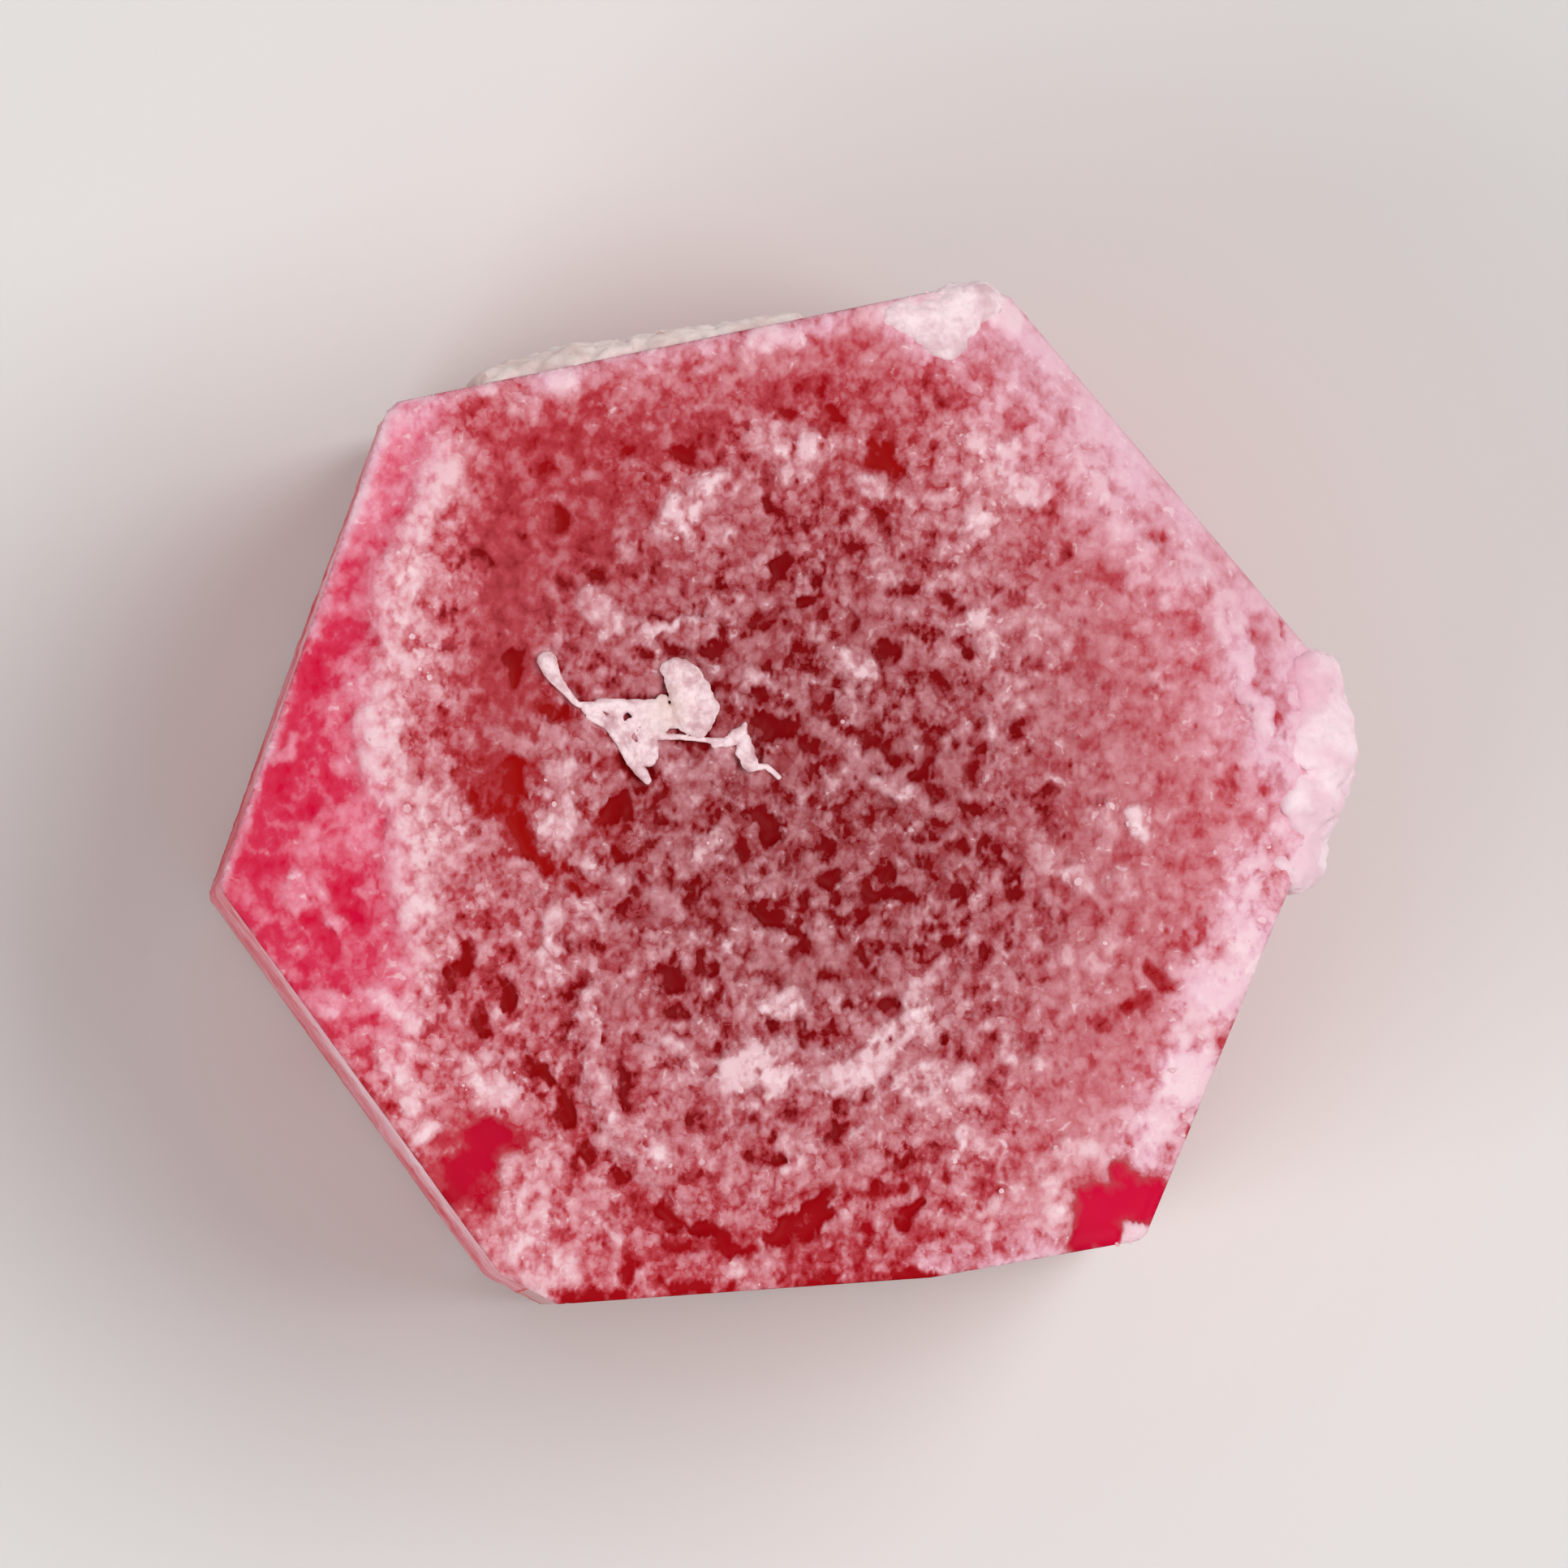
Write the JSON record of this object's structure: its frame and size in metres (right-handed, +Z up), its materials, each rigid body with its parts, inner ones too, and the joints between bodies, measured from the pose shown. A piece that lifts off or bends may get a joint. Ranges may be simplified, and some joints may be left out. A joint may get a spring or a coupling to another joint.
{
  "type": "red beryl crystal",
  "caption": "Natural red beryl crystal: a short six-sided prism with a frosted, etched end face and pale matrix crusts on its edges; stands on its flat lower end",
  "frame": {"origin": "on the plane of the base, under the middle of the plan's box", "axes": "+Z up along the crystal's c-axis, out of the frosted end face; +X across the prism's widest way, towards the corner that carries the lump of matrix; +Y towards the prism face with the cream rind; -Z out of the flat base"},
  "size_m": [0.0093, 0.0083, 0.0065],
  "materials": {
    "beryl": "translucent raspberry-red beryl, etched and frosted pale pink on the end face, glassy in its pits and on its prism faces",
    "matrix": "matt, chalky pinkish-white matrix",
    "rind": "matt cream rind of matrix",
    "residue": "dull white residue"
  },
  "bodies": {
    "root": {"crystal": "beryl", "matrix_knob": "matrix", "edge_rind": "rind", "corner_crust": "matrix", "residue_strand": "residue"}
  },
  "joints": []
}
